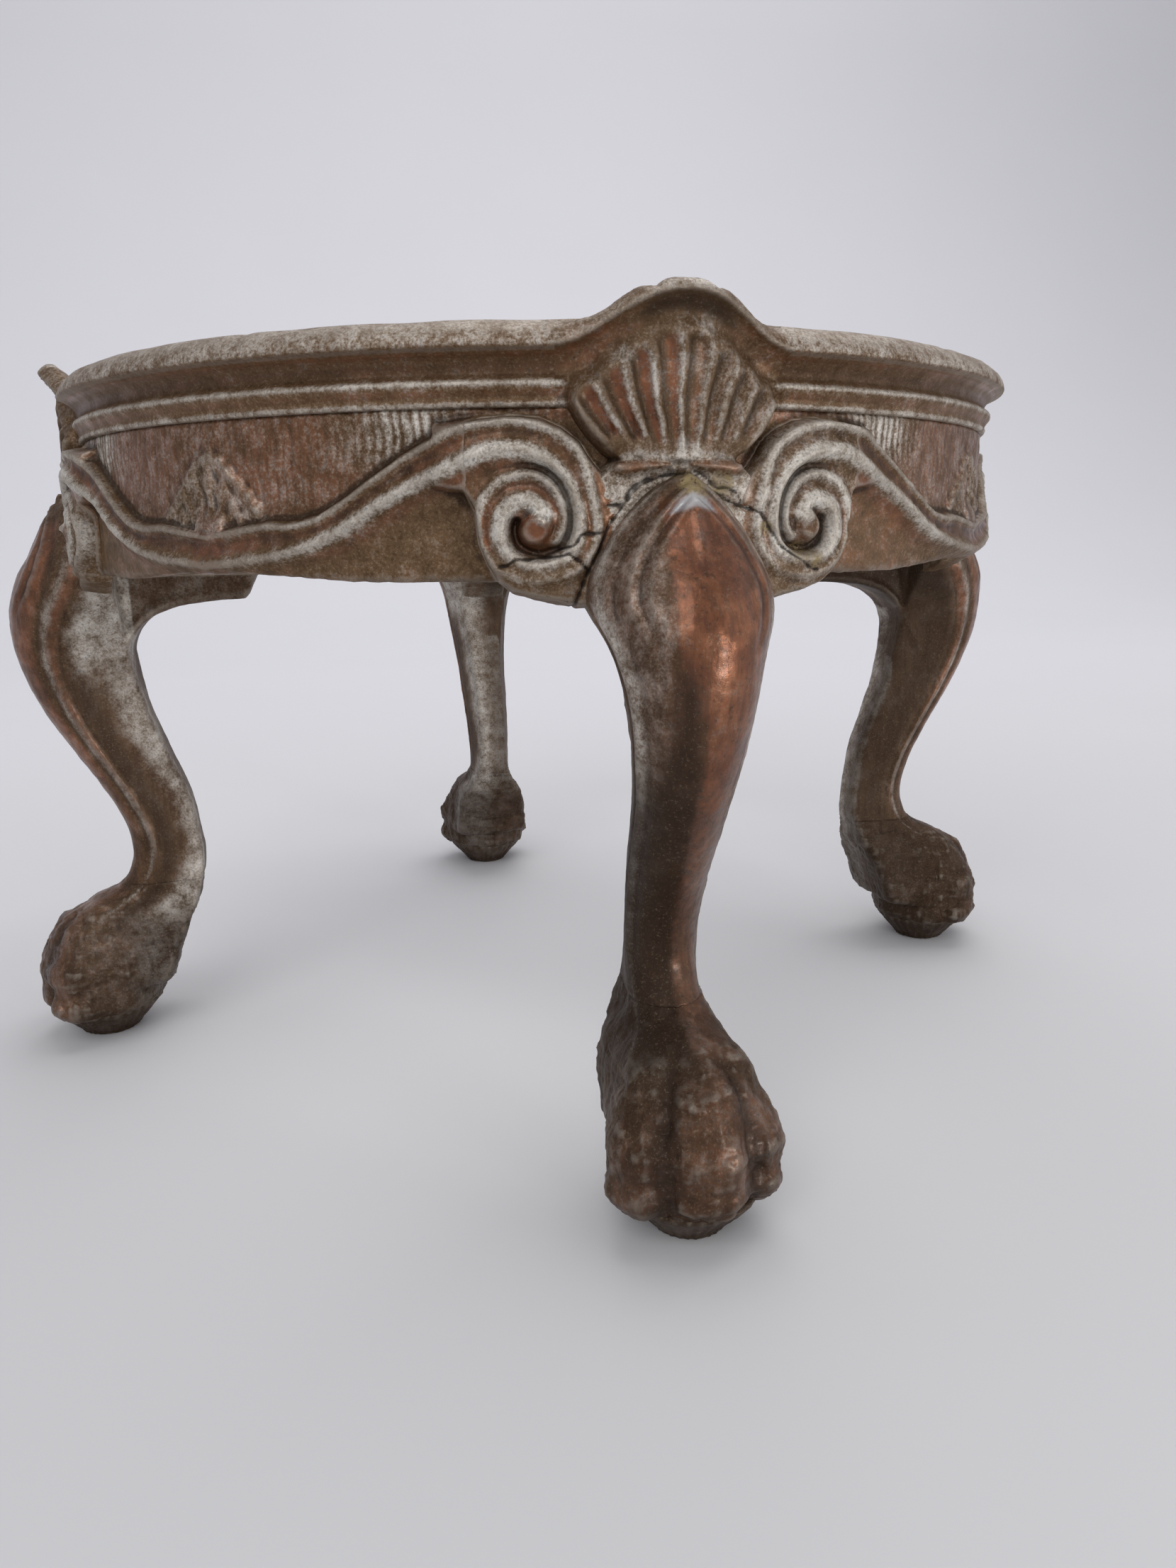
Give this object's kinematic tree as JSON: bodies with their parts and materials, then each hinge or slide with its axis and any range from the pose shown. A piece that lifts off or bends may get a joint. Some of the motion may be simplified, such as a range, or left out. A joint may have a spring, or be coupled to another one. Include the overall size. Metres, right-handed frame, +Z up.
{
  "type": "ring stand",
  "caption": "Round open ring stand of worn copper-plated cast metal, with a moulded rim and scrolled apron on cabriole legs with shell crests and claw-and-ball feet.",
  "frame": {"origin": "on the floor under the centre of the ring", "axes": "+Z up along the ring's axis; -Y towards the front leg, +X towards the right leg"},
  "size_m": [0.164, 0.164, 0.1001],
  "materials": {
    "rim_metal": "worn copper plating over grey white metal, dull",
    "apron_metal": "copper-brown plating in the hollows, silvery grey on the worn ridges",
    "leg_metal": "smooth copper-brown front with a soft gloss, grey rough back",
    "foot_metal": "dark brown patina"
  },
  "bodies": {
    "root": {"rim_ring": "rim_metal", "front_left_apron": "apron_metal", "front_right_apron": "apron_metal", "back_left_apron": "apron_metal", "back_right_apron": "apron_metal", "front_leg": "leg_metal", "front_leg_shell": "apron_metal", "front_leg_volute_left": "apron_metal", "front_leg_volute_right": "apron_metal", "front_claw_foot": "foot_metal", "front_foot_ball": "foot_metal", "right_leg": "leg_metal", "right_leg_shell": "apron_metal", "right_leg_volute_left": "apron_metal", "right_leg_volute_right": "apron_metal", "right_claw_foot": "foot_metal", "right_foot_ball": "foot_metal", "back_leg": "leg_metal", "back_leg_shell": "apron_metal", "back_leg_volute_left": "apron_metal", "back_leg_volute_right": "apron_metal", "back_claw_foot": "foot_metal", "back_foot_ball": "foot_metal", "left_leg": "leg_metal", "left_leg_shell": "apron_metal", "left_leg_volute_left": "apron_metal", "left_leg_volute_right": "apron_metal", "left_claw_foot": "foot_metal", "left_foot_ball": "foot_metal"}
  },
  "joints": []
}
